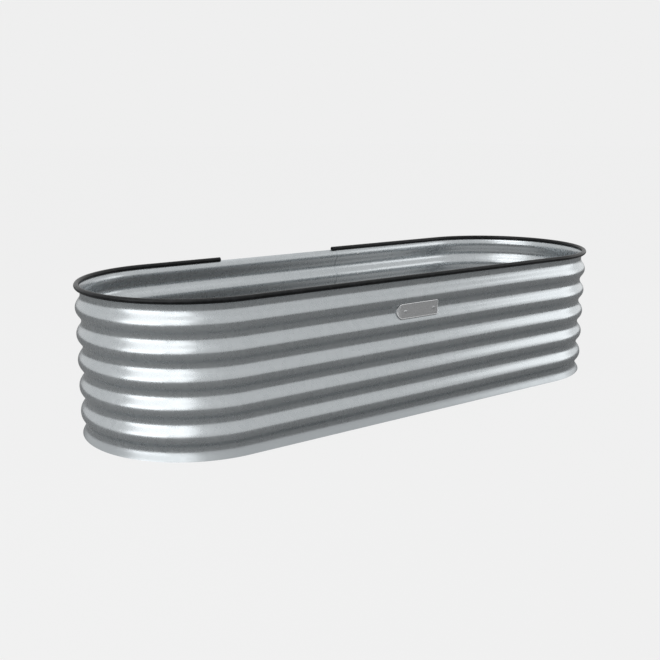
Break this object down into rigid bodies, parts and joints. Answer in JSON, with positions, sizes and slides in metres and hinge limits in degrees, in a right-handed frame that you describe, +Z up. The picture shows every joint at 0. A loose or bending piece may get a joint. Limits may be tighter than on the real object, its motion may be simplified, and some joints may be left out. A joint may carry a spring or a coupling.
{
  "type": "raised garden bed",
  "caption": "Oval raised garden bed: a ring of horizontally corrugated galvanised sheet, open above and below, with a rubber edge trim and a plain badge plate.",
  "frame": {"origin": "on the ground, in the middle of the oval", "axes": "+Z up, +X along the bed's length, the wall with the badge plate faces -Y and the lap is in the wall that faces +Y"},
  "size_m": [1.8656, 0.643, 0.433],
  "materials": {
    "galvanised_sheet": "spangled zinc, weathered satin",
    "edge_hose": "smooth, slightly glossy",
    "badge_plate": "fine brushed",
    "rivet_sleeve": "satin",
    "rivet_pin": "dull, broken face"
  },
  "bodies": {
    "root": {"wall_sheet": "galvanised_sheet", "edge_hose": "edge_hose", "badge_plate": "badge_plate", "seam_rivet_1": "rivet_sleeve", "seam_rivet_pin_1": "rivet_pin", "seam_rivet_2": "rivet_sleeve", "seam_rivet_pin_2": "rivet_pin", "seam_rivet_3": "rivet_sleeve", "seam_rivet_pin_3": "rivet_pin", "seam_rivet_4": "rivet_sleeve", "seam_rivet_pin_4": "rivet_pin", "seam_rivet_5": "rivet_sleeve", "seam_rivet_pin_5": "rivet_pin", "seam_rivet_6": "rivet_sleeve", "seam_rivet_pin_6": "rivet_pin", "badge_rivet_left": "rivet_sleeve", "badge_rivet_pin_left": "rivet_pin", "badge_rivet_right": "rivet_sleeve", "badge_rivet_pin_right": "rivet_pin"}
  },
  "joints": []
}
